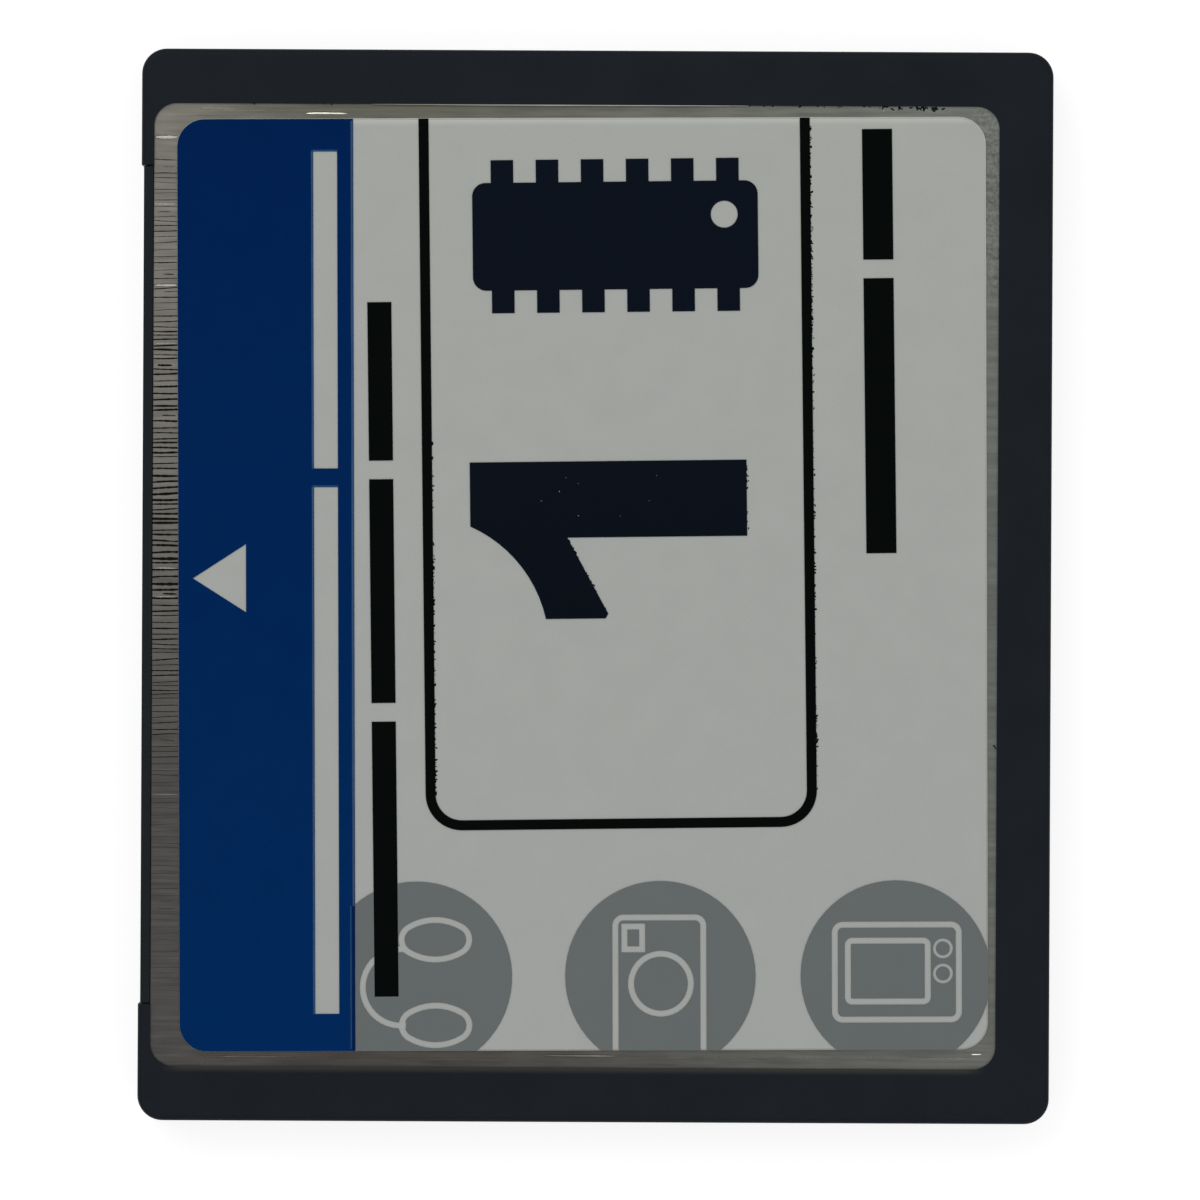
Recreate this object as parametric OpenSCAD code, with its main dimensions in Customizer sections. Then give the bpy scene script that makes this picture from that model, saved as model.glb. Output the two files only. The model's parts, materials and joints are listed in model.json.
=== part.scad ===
// Flash memory card with a 50-way socket edge: two moulded frame halves, two steel covers,
// a printed label, the socket, and the circuit board with its chips inside.
// Origin: centre of the underside. +X runs from the socket edge to the grip edge, +Z is the label side.

/* [Card] */
// Length from the socket edge to the grip edge
card_len = 36.4; // [36:0.1:40]
// Width along the socket edge
card_wid = 42.8; // [42.6:0.1:46]
// Thickness over the frame rims
card_t = 3.3; // [3.3:0.1:5]
// Radius of the four corners in plan
corner_r = 1; // [0.5:0.1:1.5]
// Rounding of the outer edges of the rims
edge_r = 0.25; // [0.1:0.05:0.4]

/* [Frame] */
// Width of the plastic border along each side
side_rail = 2.18; // [1.9:0.02:2.3]
// Width of the plastic border along the grip edge
grip_rail = 2.15; // [1.8:0.05:2.3]
// Distance from the socket edge to the front edge of each cover
front_lip = 0.5; // [0.4:0.02:0.8]
// Radius of the four inner corners of the border
window_r = 0.9; // [0.6:0.1:2]
// Height of the border above the cover
rim_h = 0.15; // [0.12:0.01:0.3]
// Length of the solid front corners of the frame
corner_block_len = 5.8; // [5.8:0.1:6.4]
// How far the ribs inside the frame reach in over the circuit board
rib_reach = 0.5; // [0.3:0.05:0.7]
// Length of each rib inside the frame
rib_len = 5; // [2:0.5:7]
// Wall left round the hollows in the solid front corners
core_wall = 1.1; // [0.9:0.05:1.4]
// Skin left above and below those hollows
core_skin = 0.75; // [0.6:0.05:1]

/* [Guide slots] */
// Length of the guide slots from the socket edge
slot_len = 25.78; // [20:0.1:30]
// Depth of the guide slots, which leaves 41.66 between their floors
slot_depth = 0.57; // [0.4:0.01:0.7]
// Height of the slot on the +Y side
wide_slot_h = 1.6; // [1.3:0.05:1.8]
// Height of the slot on the -Y side
narrow_slot_h = 0.99; // [0.7:0.01:1.2]
// How far the mouth of a slot flares above and below it
slot_flare = 0.25; // [0.1:0.05:0.4]
// Length of the flare at the mouth of a slot
slot_flare_len = 0.6; // [0.3:0.1:1.5]

/* [Weld seam] */
// Width of the tongue that the lower half welds into the upper half
tongue_w = 0.4; // [0.3:0.05:0.5]
// Size of the relief along the outside of the seam
seam_relief = 0.06; // [0.02:0.01:0.1]
// Height of the tongue
tongue_h = 0.25; // [0.15:0.05:0.4]
// Distance of the tongue's ends behind the front corners
tongue_end = 0.6; // [0.3:0.1:2]

/* [Finger grip] */
// Length of the fingernail groove under the grip edge
nail_len = 20; // [10:1:30]
// Radius of the fingernail groove
nail_r = 0.5; // [0.4:0.05:0.6]
// Depth of the fingernail groove
nail_depth = 0.3; // [0.2:0.05:0.35]
// Distance of the groove's centre line from the grip edge
nail_inset = 1.05; // [0.9:0.05:1.2]

/* [Covers] */
// Sheet thickness of the steel covers
cover_t = 0.15; // [0.1:0.01:0.2]
// How far the moulded border holds the edge of a cover
cover_hold = 0.6; // [0.45:0.05:0.7]
// Ledge of the frame wall that a cover's edge lies on
cover_seat = 0.2; // [0.1:0.05:0.3]
// Radius of the outer corners of a cover
cover_r = 0.4; // [0.2:0.1:0.6]
// Number of keying notches along each side of a cover
cover_notches = 4; // [2:1:6]
// Length of a keying notch
notch_len = 1.5; // [0.8:0.1:2.5]
// Depth of a keying notch
notch_depth = 0.3; // [0.15:0.05:0.35]

/* [Socket] */
// Contacts in each of the two rows
contacts_per_row = 25; // [10:1:25]
// Spacing of the contacts along a row
contact_pitch = 1.27; // [1.2:0.01:1.3]
// Spacing of the two rows
row_pitch = 1.27; // [1.2:0.01:1.27]
// Width of the socket housing
socket_wid = 33.4; // [33.3:0.1:34]
// Depth of the socket housing
socket_depth = 5.5; // [5.2:0.1:5.5]
// Set-back of the housing's face from the frame's front corners
socket_setback = 0.1; // [0:0.05:0.2]
// Set-back of the housing's lip below the frame rims
lip_setback = 0.05; // [0:0.01:0.1]
// Side of each square pin hole
pin_hole = 0.64; // [0.5:0.02:0.7]
// Side of the flared mouth of a pin hole
pin_mouth = 0.94; // [0.8:0.02:1]
// Depth of the flared mouth
mouth_depth = 0.22; // [0.1:0.02:0.4]
// Thickness of the wall in front of the contacts
face_wall = 0.9; // [0.6:0.05:1.2]
// Width of the cell that holds a contact
cell_w = 0.86; // [0.78:0.02:0.9]
// Height of the cell that holds a contact
cell_h = 0.84; // [0.78:0.02:0.9]
// Length of the housing's side ears
ear_len = 2; // [1:0.1:2.4]
// Reach of the side ears into the frame
ear_reach = 0.8; // [0.4:0.05:1]
// Height of the side ears
ear_h = 1.4; // [0.8:0.1:1.6]
// Distance of the ears from the socket edge
ear_inset = 1.6; // [1.2:0.1:2.2]

/* [Contacts] */
// Strip thickness of the contacts
contact_t = 0.12; // [0.08:0.01:0.14]
// Width of the two spring beams
beam_w = 0.5; // [0.3:0.02:0.6]
// Gap between the spring beams at their throat
throat = 0.34; // [0.25:0.01:0.4]
// Length of the folded base that grips the cell
base_len = 0.9; // [0.6:0.05:1.2]
// Width of the solder tails
tail_w = 0.4; // [0.25:0.01:0.5]
// Length of the foot of a solder tail
tail_foot = 1.2; // [0.8:0.1:1.5]

/* [Circuit board] */
// Thickness of the circuit board
board_t = 0.5; // [0.4:0.02:0.56]
// Thickness of the copper pads
pad_t = 0.035; // [0.02:0.005:0.05]
// Width of the pads under the solder tails
pad_w = 0.6; // [0.5:0.02:0.8]
// Length of the pads under the solder tails
pad_len = 1.7; // [1.5:0.05:2]
// Corner chamfer of the board
board_chamfer = 0.8; // [0.3:0.1:1.2]
// Distance of the memory chips' leads from the board's back edge
chip_margin = 0.8; // [0.6:0.1:2]
// Distance of the memory chips from the board's +Y edge
memory_margin = 2.5; // [1.5:0.1:3]
// Distance of the controller from the board's -Y edge
controller_margin = 4; // [2.5:0.1:5]
// Distance of the resistor arrays from the pads
array_gap = 0.4; // [0.2:0.1:1]

/* [Chips] */
// Thickness of the chip bodies
chip_t = 0.95; // [0.7:0.01:0.97]
// Gap between the board and the chip bodies
chip_standoff = 0.05; // [0.03:0.01:0.08]
// Length of a memory chip's body
memory_len = 18.4; // [16:0.1:18.8]
// Width of a memory chip's body
memory_wid = 12; // [12:0.1:13]
// Leads along each end of a memory chip
memory_leads = 24; // [12:1:24]
// Side of the controller chip's body
controller_side = 14; // [13:0.1:14.6]
// Leads along each side of the controller chip
controller_leads_side = 25; // [12:1:25]
// Spacing of the chip leads
lead_pitch = 0.5; // [0.4:0.01:0.5]
// Width of the chip leads
lead_w = 0.22; // [0.15:0.01:0.26]
// Thickness of the chip leads
lead_t = 0.125; // [0.1:0.005:0.15]
// Straight part of a lead beside the body
lead_shoulder = 0.2; // [0.1:0.02:0.25]
// Slant of a lead on its way down to the board
lead_slant = 0.15; // [0.05:0.01:0.2]
// Reach of the memory chip leads from the body
memory_lead_reach = 0.8; // [0.7:0.05:0.9]
// Reach of the controller leads from the body
controller_lead_reach = 1; // [0.8:0.05:1.1]

/* [Small parts] */
// Length of a capacitor over its end caps
cap_len = 1.6; // [1.2:0.1:2]
// Width of a capacitor
cap_wid = 0.8; // [0.5:0.05:1]
// Height of a capacitor
cap_h = 0.8; // [0.4:0.05:0.9]
// Length of a capacitor's end caps
cap_end = 0.3; // [0.2:0.02:0.4]
// Gap between the controller's leads and the capacitors beside it
cap_gap = 1; // [0.3:0.1:1.5]
// Length of a resistor array
array_len = 3.2; // [2.4:0.1:3.6]
// Width of a resistor array
array_wid = 1.5; // [1:0.1:1.8]
// Height of a resistor array
array_h = 0.55; // [0.4:0.05:0.8]
// Number of resistor arrays
array_count = 7; // [3:1:7]
// Spacing of the resistor arrays
array_pitch = 4.6; // [4:0.1:5]

/* [Label] */
// Thickness of the label film
film_t = 0.08; // [0.05:0.01:0.09]
// Thickness of the printed ink
ink_t = 0.03; // [0.02:0.005:0.03]
// Bare steel between the cover's front edge and the label
label_front_gap = 1.05; // [0.5:0.05:1.2]
// Bare steel between the label and the grip rail
label_back_gap = 0.43; // [0.3:0.01:1]
// Bare steel between the label and each side rail
label_side_gap = 0.61; // [0.4:0.01:1]
// Corner radius of the label
label_r = 1.1; // [0.6:0.1:1.5]
// Shift of the label from the middle towards +Y
label_shift = 0.08; // [-0.2:0.02:0.2]
// Turn of the label on the card, in degrees
label_turn = 0.42; // [0:0.02:0.6]

/* [Print] */
// Width of the blue band at the socket edge
band_w = 7.02; // [6:0.02:7.1]
// Length of the insertion arrow
arrow_len = 2.12; // [1.5:0.02:2.5]
// Width of the insertion arrow
arrow_wid = 2.72; // [2:0.02:3.2]
// Distance of the arrow's tip from the label's front edge
arrow_inset = 0.58; // [0.3:0.02:0.8]
// Width of the narrow printed bars
bar_w = 0.96; // [0.5:0.02:1.2]
// Width of the wide printed bars
wide_bar_w = 1.2; // [0.6:0.05:1.6]
// Distance of the narrow bars' centre lines from the edge of the blue band
bar_offset = 1.12; // [0.8:0.02:1.5]
// Length of the printed figure
figure_len = 11.05; // [8:0.05:12]
// Stroke width of the printed figure
figure_stroke = 3.04; // [2:0.02:4]
// Height of the printed figure over its flag
figure_h = 6.28; // [5:0.02:8]
// Distance of the figure from the box's front line
figure_inset = 1.9; // [1:0.1:3]
// Distance of the figure from the label's +Y edge
figure_drop = 13.7; // [12:0.1:16]
// Turn of the black print on the label, in degrees
print_turn = 0.46; // [0:0.02:0.6]
// Length of the printed chip
chip_mark_len = 11.4; // [8:0.1:12]
// Height of the printed chip's body
chip_mark_h = 4.3; // [3:0.1:5]
// Length of the printed chip's legs
chip_mark_leg = 0.9; // [0.4:0.1:1.2]
// Distance of the printed chip's centre from the label's +Y edge
chip_mark_drop = 4.7; // [4:0.1:6]
// Line width of the printed box
box_line = 0.4; // [0.2:0.01:0.5]
// Distance of the printed box from the label's front edge
box_front = 9.78; // [9.4:0.02:10]
// Width of the printed box over its lines
box_wid = 15.62; // [14:0.02:16]
// Gap between the closed end of the printed box and the discs
box_gap = 2.08; // [1:0.02:4]
// Outer corner radius of the printed box
box_r = 1.45; // [0.8:0.05:2]
// Radius of the three picture discs
disc_r = 3.8; // [3.4:0.05:3.9]
// Height of the discs' centres above the label's edge
disc_rise = 2.96; // [2.6:0.01:3.4]
// Distance of the first disc's centre from the label's front edge
disc_first = 9.48; // [9.2:0.02:9.6]
// Distance of the second disc's centre from the label's front edge
disc_second = 19.2; // [18:0.02:20]
// Distance of the third disc's centre from the label's front edge
disc_third = 28.6; // [28:0.02:29]
// Line width of the pictures in the discs
icon_line = 0.25; // [0.15:0.01:0.35]

/* [Hidden] */
$fn = 64;
EPS = 0.01;      // overshoot of a cut past an open face
FIT = 0.02;      // clearance of a part that is pressed or slid home
RUN = 0.05;      // clearance of a part that is dropped in
BOARD_GAP = 0.15;
SEAM = 0.05;     // visible gap between the socket and the frame's front corners

front_x = -card_len / 2;
back_x = card_len / 2;
half_t = card_t / 2;

window_front = front_x + front_lip;
window_back = back_x - grip_rail;
window_len = window_back - window_front;
window_wid = card_wid - 2 * side_rail;
window_x = (window_front + window_back) / 2;

cover_back = window_back + cover_hold;
cover_len = cover_back - window_front;
cover_wid = window_wid + 2 * cover_hold;
cover_x = (window_front + cover_back) / 2;
cover_out = half_t - rim_h;          // outer face of a cover, from the middle plane
cover_in = cover_out - cover_t;      // inner face of a cover, from the middle plane

cavity_front = front_x + corner_block_len;
cavity_back = cover_back - cover_seat;
cavity_len = cavity_back - cavity_front;
cavity_wid = cover_wid - 2 * cover_seat;
cavity_x = (cavity_front + cavity_back) / 2;
cavity_r = 0.5;

wall_y = cavity_wid / 2;             // inner face of the side walls
slot_y = card_wid / 2 - slot_depth;  // floor of the guide slots
tongue_y = (wall_y + slot_y) / 2;
tongue_x = (cavity_back + back_x) / 2;

socket_front = front_x + socket_setback;
socket_back = socket_front + socket_depth;
row_z = row_pitch / 2;
cell_front = socket_front + face_wall;
row_len = (contacts_per_row - 1) * contact_pitch;

board_front = cavity_front + BOARD_GAP;
board_back = cavity_back - BOARD_GAP;
board_len = board_back - board_front;
board_wid = cavity_wid - 2 * BOARD_GAP;
board_top = board_t / 2;
tail_start = socket_back + 0.12;     // where the tails bend towards the board
tail_foot_x = board_front + 0.12;    // where they lie down on their pads
pad_front = board_front + 0.06;

memory_reach = memory_len / 2 + memory_lead_reach;
controller_reach = controller_side / 2 + controller_lead_reach;
cap_x = controller_reach + cap_gap + cap_wid / 2;    // row of capacitors beside the controller
memory_x = board_back - chip_margin - memory_reach;
controller_x = board_back - chip_margin - cap_x - cap_wid / 2;
memory_y = board_wid / 2 - memory_margin - memory_wid / 2;
controller_y = controller_margin + controller_side / 2 - board_wid / 2;
array_end_t = 0.12;
array_x = pad_front + pad_len + array_gap + array_end_t + array_wid / 2;

label_front = window_front + label_front_gap;
label_len = window_len - label_front_gap - label_back_gap;
label_wid = window_wid - 2 * label_side_gap;
label_half = label_wid / 2;
box_len = label_wid - disc_rise - disc_r - box_gap;
box_back = box_front + box_wid;
film_z = card_t - rim_h;
ink_z = film_z + film_t;

// Plain shapes

// Edge section of a slab: chamfered by relief at the bottom, rounded by edge at the top
module slab_section(r, h, edge, relief) {
    difference() {
        polygon([[0, 0], [r - relief, 0], [r, relief], [r, h], [0, h]]);
        if (edge > 0)
            translate([r - edge, h - edge])
                difference() {
                    square(edge + EPS);
                    circle(r = edge);
                }
    }
}

// Plate with round corners of radius r in plan, centred on X and Y
module slab(len, wid, h, r, edge = 0, relief = 0) {
    for (turn = [0 : 3])
        rotate(90 * turn) {
            along = turn % 2 == 0 ? wid : len;
            across = turn % 2 == 0 ? len : wid;
            translate([across / 2 - r, along / 2 - r, 0])
                rotate_extrude(angle = 90)
                    slab_section(r, h, edge, relief);
            translate([across / 2 - r, along / 2 - r, 0])
                rotate([90, 0, 0])
                    linear_extrude(along - 2 * r)
                        slab_section(r, h, edge, relief);
        }
    translate([-len / 2 + r, -wid / 2 + r, 0])
        cube([len - 2 * r, wid - 2 * r, h]);
}

// Box from one corner to the opposite one
module block(low, high) {
    translate(low) cube(high - low);
}

module both_sides() {
    children();
    mirror([0, 1, 0]) children();
}

// Frame halves, drawn from the middle plane outwards

// Row of keying notches along both sides of a cover
module cover_key_notches(h) {
    spacing = cover_len / cover_notches;
    start = spacing / 2 - cover_len / 2 - notch_len / 2;
    both_sides()
        for (i = [0 : cover_notches - 1])
            translate([start + i * spacing, cover_wid / 2 - notch_depth, -EPS])
                cube([notch_len, notch_depth + EPS, h + 2 * EPS]);
}

module cover_sheet() {
    difference() {
        slab(cover_len, cover_wid, cover_t, cover_r);
        cover_key_notches(cover_t);
    }
}

// Guide slot of one side, with a flared mouth
module guide_slot(h) {
    block([front_x - EPS, slot_y, -EPS], [front_x + slot_len, card_wid / 2 + EPS, h / 2]);
    translate([0, card_wid / 2 + EPS, 0])
        rotate([90, 0, 0])
            linear_extrude(slot_depth + EPS)
                polygon([
                    [front_x - EPS, -EPS],
                    [front_x + slot_flare_len, -EPS],
                    [front_x + slot_flare_len, h / 2],
                    [front_x - EPS, h / 2 + slot_flare]
                ]);
}

// U-shaped tongue along the sides and the grip edge; grow widens it into its groove
module weld_tongue(grow, h) {
    side_front = cavity_front + tongue_end;
    reach = tongue_w / 2 + grow;
    both_sides()
        block([side_front - grow, tongue_y - reach, 0], [tongue_x + reach, tongue_y + reach, h]);
    block([tongue_x - reach, -tongue_y, 0], [tongue_x + reach, tongue_y, h]);
}

// Hollow that keeps the wall of a front corner even
module corner_core() {
    pocket_end = socket_wid / 2 + ear_reach + RUN;
    block(
        [front_x + core_wall, pocket_end + core_wall / 2, -EPS],
        [cavity_front - core_wall, slot_y - core_wall, half_t - core_skin]
    );
}

// Ribs that carry the circuit board, from its face out to the cover
module board_ribs() {
    rib_h = cover_in - board_top;
    side_spacing = cavity_len / 3;
    back_place = cavity_wid / 4;
    for (along = [-1, 0, 1])
        both_sides()
            translate([cavity_x + along * side_spacing - rib_len / 2, wall_y - rib_reach, board_top])
                cube([rib_len, rib_reach + EPS, rib_h]);
    both_sides()
        translate([cavity_back - rib_reach, back_place - rib_len / 2, board_top])
            cube([rib_reach + EPS, rib_len, rib_h]);
}

module frame_half() {
    bay_half = socket_wid / 2 + SEAM;
    difference() {
        slab(card_len, card_wid, half_t, corner_r, edge_r, seam_relief);
        translate([window_x, 0, cover_out - EPS])
            slab(window_len, window_wid, rim_h + 2 * EPS, window_r);
        translate([cover_x, 0, cover_out - cover_t])
            cover_sheet();
        difference() {
            translate([cavity_x, 0, -EPS])
                slab(cavity_len, cavity_wid, cover_in + EPS, cavity_r);
            board_ribs();
        }
        block([front_x - EPS, -bay_half, -EPS], [cavity_front + EPS, bay_half, half_t + EPS]);
        both_sides() {
            block(
                [front_x + ear_inset - RUN, 0, -EPS],
                [front_x + ear_inset + ear_len + RUN, socket_wid / 2 + ear_reach + RUN, ear_h / 2 + RUN]
            );
            corner_core();
        }
        guide_slot(wide_slot_h);
        mirror([0, 1, 0]) guide_slot(narrow_slot_h);
    }
}

module frame_upper() {
    color("#1f2225")
        translate([0, 0, half_t])
            difference() {
                frame_half();
                translate([0, 0, -EPS])
                    weld_tongue(FIT, tongue_h + RUN + EPS);
            }
}

module frame_lower() {
    color("#1f2225")
        translate([0, 0, half_t]) {
            mirror([0, 0, 1])
                difference() {
                    frame_half();
                    translate([back_x - nail_inset, nail_len / 2, half_t + nail_r - nail_depth])
                        rotate([90, 0, 0])
                            cylinder(r = nail_r, h = nail_len);
                }
            weld_tongue(0, tongue_h);
        }
}

// Covers

module cover_upper() {
    color("#8c8b86")
        translate([cover_x, 0, half_t + cover_in])
            cover_sheet();
}

module cover_lower() {
    color("#8c8b86")
        translate([cover_x, 0, half_t - cover_out])
            cover_sheet();
}

// Label and its print

// The film's outline, from its front edge
module label_outline() {
    for (u = [label_r, label_len - label_r], v = [label_r - label_half, label_half - label_r])
        translate([u, v]) circle(r = label_r);
    translate([label_r, -label_half]) square([label_len - 2 * label_r, label_wid]);
    translate([0, label_r - label_half]) square([label_len, label_wid - 2 * label_r]);
}

// Turns a drawing about the label's centre
module turned_on_label(turn) {
    translate([label_len / 2, 0])
        rotate(turn)
            translate([-label_len / 2, 0])
                children();
}

module on_label(z, h) {
    translate([label_front, label_shift, z])
        linear_extrude(h)
            turned_on_label(label_turn)
                children();
}

// Rectangle frame with round outer corners, centred, drawn with a line of width line
module round_frame(len, wid, r, line) {
    difference() {
        round_rect(len, wid, r);
        round_rect(len - 2 * line, wid - 2 * line, r - line);
    }
}

module round_rect(len, wid, r) {
    for (u = [r - len / 2, len / 2 - r], v = [r - wid / 2, wid / 2 - r])
        translate([u, v]) circle(r = r);
    square([len - 2 * r, wid], center = true);
    square([len, wid - 2 * r], center = true);
}

module ring(r, line) {
    difference() {
        circle(r = r);
        circle(r = r - line);
    }
}

// Plain bars of width w centred on u; each [start, end] is in shares of the label's half width
module printed_bars(bars, u, w) {
    for (bar = bars * label_half)
        translate([u - w / 2, bar[0]]) square([w, bar[1] - bar[0]]);
}

module arrow() {
    side_shift = 0.28;
    translate([arrow_inset, side_shift])
        polygon([[0, 0], [arrow_len, arrow_wid / 2], [arrow_len, -arrow_wid / 2]]);
}

// Pale bars in the blue band
module band_bars() {
    printed_bars([[-0.92, 0.21], [0.25, 0.93]], band_w - bar_offset, bar_w);
}

// Dark bars beside the band
module small_bars() {
    printed_bars([[-0.88, -0.29], [-0.25, 0.23], [0.27, 0.61]], band_w + bar_offset, bar_w);
}

// Dark bars outside the box
module large_bars() {
    strip = label_len - box_back;
    printed_bars([[0.06, 0.65], [0.69, 0.97]], box_back + 0.39 * strip, wide_bar_w);
}

// Box that runs off the label's edge, where it is cut
module printed_box() {
    translate([box_front + box_wid / 2, label_half])
        round_frame(box_wid, 2 * box_len, box_r, box_line);
}

// Plain figure one, turned to read from the grip edge; its flag is cut by a true arc
module figure() {
    tip = 0.495 * figure_len;
    notch = 0.35 * figure_len;
    arc_r = 0.48 * figure_len;
    translate([box_front + figure_inset, label_half - figure_drop])
        difference() {
            polygon([
                [0, 0], [figure_len, 0], [figure_len, -figure_stroke], [notch, -figure_stroke],
                [tip, -0.97 * figure_h], [0.98 * tip, -figure_h], [0, -figure_h]
            ]);
            translate([-0.2 * figure_len, -1.175 * figure_h]) circle(r = arc_r);
        }
}

// Plain picture of a chip: a body with legs along both long sides
module chip_mark() {
    legs = 6;
    leg_pitch = chip_mark_len / (legs + 1 / 3);
    leg_w = leg_pitch / 2;
    dot_r = chip_mark_h / 8;
    dot_inset = 2.5 * dot_r;
    translate([box_front + box_wid / 2, label_half - chip_mark_drop]) {
        difference() {
            round_rect(chip_mark_len, chip_mark_h, dot_r);
            translate([chip_mark_len / 2 - dot_inset, chip_mark_h / 2 - dot_inset]) circle(r = dot_r);
        }
        for (i = [0 : legs - 1], side = [-1, 1])
            translate([(i - (legs - 1) / 2) * leg_pitch, side * (chip_mark_h + chip_mark_leg) / 2])
                square([leg_w, chip_mark_leg + EPS], center = true);
    }
}

module black_shapes() {
    intersection() {
        label_outline();
        turned_on_label(print_turn) {
            printed_box();
            figure();
            chip_mark();
            small_bars();
            large_bars();
        }
    }
}

// Oval of four arcs: two ends of radius r, joined by two flatter arcs that touch them
module oval(len, wid, r) {
    end_x = len / 2 - r;
    flat_r = (len * len / 4 + wid * wid / 4 - len * r) / (wid - 2 * r);
    touch_x = end_x * flat_r / (flat_r - r);
    for (side = [-1, 1])
        translate([side * end_x, 0]) circle(r = r);
    intersection() {
        translate([0, flat_r - wid / 2]) circle(r = flat_r, $fn = 128);
        translate([0, wid / 2 - flat_r]) circle(r = flat_r, $fn = 128);
        square([2 * touch_x, wid], center = true);
    }
}

// Two ear pieces on a curved lead
module earphone_picture() {
    for (v = [-1.94, 1.48])
        translate([0.74, v])
            difference() {
                oval(2.95, 1.83, 0.7);
                oval(2.95 - 2 * icon_line, 1.83 - 2 * icon_line, 0.7 - icon_line);
            }
    translate([-0.64, -0.42])
        difference() {
            ring(1.65, icon_line);
            translate([0.2, -3]) square([3, 6]);
        }
}

// Camera seen from the front
module camera_picture() {
    translate([-0.04, -1.63]) round_frame(3.76, 8.2, 0.45, icon_line);
    translate([0.02, -0.3]) ring(1.32, icon_line);
    translate([-1.08, 1.53])
        difference() {
            square([0.96, 1.16], center = true);
            square([0.96 - 2 * icon_line, 1.16 - 2 * icon_line], center = true);
        }
}

// Hand-held player with a screen and two buttons
module player_picture() {
    translate([0.04, 0.14]) round_frame(5.2, 4.04, 0.44, icon_line);
    translate([-0.32, 0.18]) round_frame(3.44, 2.68, 0.3, icon_line);
    for (v = [0.08, 1.08])
        translate([1.88, v]) ring(0.4, icon_line / 2);
}

module disc_shapes() {
    intersection() {
        difference() {
            label_outline();
            square([2 * band_w, 3 * label_wid], center = true);
        }
        for (u = [disc_first, disc_second, disc_third])
            translate([u, disc_rise - label_half]) circle(r = disc_r);
    }
}

module disc_pictures() {
    translate([disc_first, disc_rise - label_half]) earphone_picture();
    translate([disc_second, disc_rise - label_half]) camera_picture();
    translate([disc_third, disc_rise - label_half]) player_picture();
}

module label_film() {
    color("#a0a29e") on_label(film_z, film_t) label_outline();
}

module print_blue() {
    color("#002352")
        on_label(ink_z, ink_t)
            difference() {
                intersection() {
                    label_outline();
                    translate([0, -label_wid]) square([band_w, 2 * label_wid]);
                }
                arrow();
                band_bars();
            }
}

module print_black() {
    color("#0b0d10") on_label(ink_z, ink_t) black_shapes();
}

module print_grey() {
    color("#616565")
        on_label(ink_z, ink_t)
            difference() {
                disc_shapes();
            disc_pictures();
            turned_on_label(print_turn) small_bars();
            }
}

// Socket

// Squares of side a at every pin, in a plane across the pins
module pin_field(w, h) {
    for (i = [0 : contacts_per_row - 1], z = [-row_z, row_z])
        translate([i * contact_pitch - row_len / 2, z])
            square([w, h], center = true);
}

// Extrudes a shape drawn in Y and Z along X
module along_x(x, length) {
    translate([x, 0, 0])
        rotate([90, 0, 90])
            linear_extrude(length)
                children();
}

// Flared mouths of one row: a comb of wedges cut by one long wedge
module pin_mouths() {
    start = socket_front - EPS;
    depth = mouth_depth + EPS;
    intersection() {
        translate([0, 0, row_z - pin_mouth])
            linear_extrude(2 * pin_mouth)
                for (i = [0 : contacts_per_row - 1])
                    translate([start, i * contact_pitch - row_len / 2])
                        polygon([
                            [0, -pin_mouth / 2], [depth, -pin_hole / 2],
                            [depth, pin_hole / 2], [0, pin_mouth / 2]
                        ]);
        translate([start, card_wid / 2, row_z])
            rotate([90, 0, 0])
                linear_extrude(card_wid)
                    polygon([
                        [0, -pin_mouth / 2], [depth, -pin_hole / 2],
                        [depth, pin_hole / 2], [0, pin_mouth / 2]
                    ]);
    }
}

module socket_housing() {
    side = socket_wid / 2;
    body_half = cover_in - FIT;
    lip_half = half_t - lip_setback;
    lip_back = window_front - FIT;
    ear_front = front_x + ear_inset;
    color("#23272a")
        translate([0, 0, half_t])
            difference() {
                union() {
                    block([socket_front, -side, -body_half], [socket_back, side, body_half]);
                    block([socket_front, -side, -lip_half], [lip_back, side, lip_half]);
                    block(
                        [ear_front, -side - ear_reach, -ear_h / 2],
                        [ear_front + ear_len, side + ear_reach, ear_h / 2]
                    );
                }
                along_x(socket_front - EPS, socket_depth) pin_field(pin_hole, pin_hole);
                along_x(cell_front, socket_depth) pin_field(cell_w, cell_h);
                pin_mouths();
                mirror([0, 0, 1]) pin_mouths();
            }
}

// Side view of a contact's beams and base, centred on its row
function contact_outline() =
    let (
        t = contact_t,
        top = cell_h / 2 - FIT,
        g = throat / 2,
        lead_in = 0.1,
        tip = cell_front + 0.15,
        pinch = cell_front + 0.75,
        base = socket_back - base_len,
        fork_root = base - 0.3
    )
    [
        [tip, g + lead_in], [pinch, g], [fork_root, top - t],
        [fork_root, t - top], [pinch, -g], [tip, -g - lead_in],
        [tip, -g - lead_in - t], [pinch, -g - t], [base, -top],
        [socket_back, -top], [socket_back, top],
        [base, top], [pinch, g + t], [tip, g + lead_in + t]
    ];

// Side view of a solder tail, from the base down to its pad
function tail_outline() =
    let (
        high = row_z + contact_t / 2,
        low = board_top + pad_t,
        end = tail_foot_x + tail_foot
    )
    [
        [socket_back - EPS, high], [tail_start, high], [tail_foot_x, low + contact_t],
        [end, low + contact_t], [end, low], [tail_foot_x - contact_t / 2, low],
        [tail_start - contact_t / 2, high - contact_t], [socket_back - EPS, high - contact_t]
    ];

// Extrudes a side view by w, centred on Y
module side_view(w, points) {
    translate([0, w / 2, 0])
        rotate([90, 0, 0])
            linear_extrude(w)
                polygon(points);
}

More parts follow.
